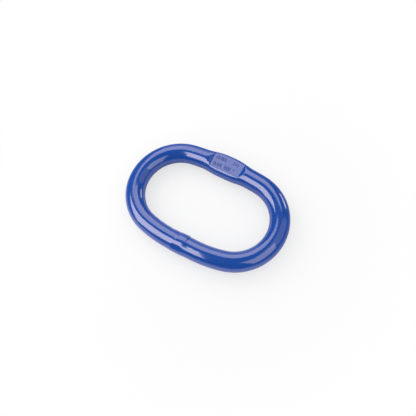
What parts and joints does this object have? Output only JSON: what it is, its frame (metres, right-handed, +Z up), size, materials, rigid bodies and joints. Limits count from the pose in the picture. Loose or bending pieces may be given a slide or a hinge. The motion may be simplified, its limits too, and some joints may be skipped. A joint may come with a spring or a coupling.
{
  "type": "master link",
  "caption": "Oval lifting link of round painted steel bar, with flats pressed into a leg to take a coupling, that joins sling chains or ropes to a hook.",
  "frame": {"origin": "middle of the eye, at the mid height of the bar, with the link lying flat", "axes": "+X along the link, +Y across it towards the leg with the pressed flats, +Z up through the eye"},
  "size_m": [0.232, 0.1549, 0.0288],
  "materials": {
    "blue_paint": "gloss enamel or powder coat on forged steel, slightly soft over edges"
  },
  "bodies": {
    "root": {"master_link": "blue_paint"}
  },
  "joints": []
}
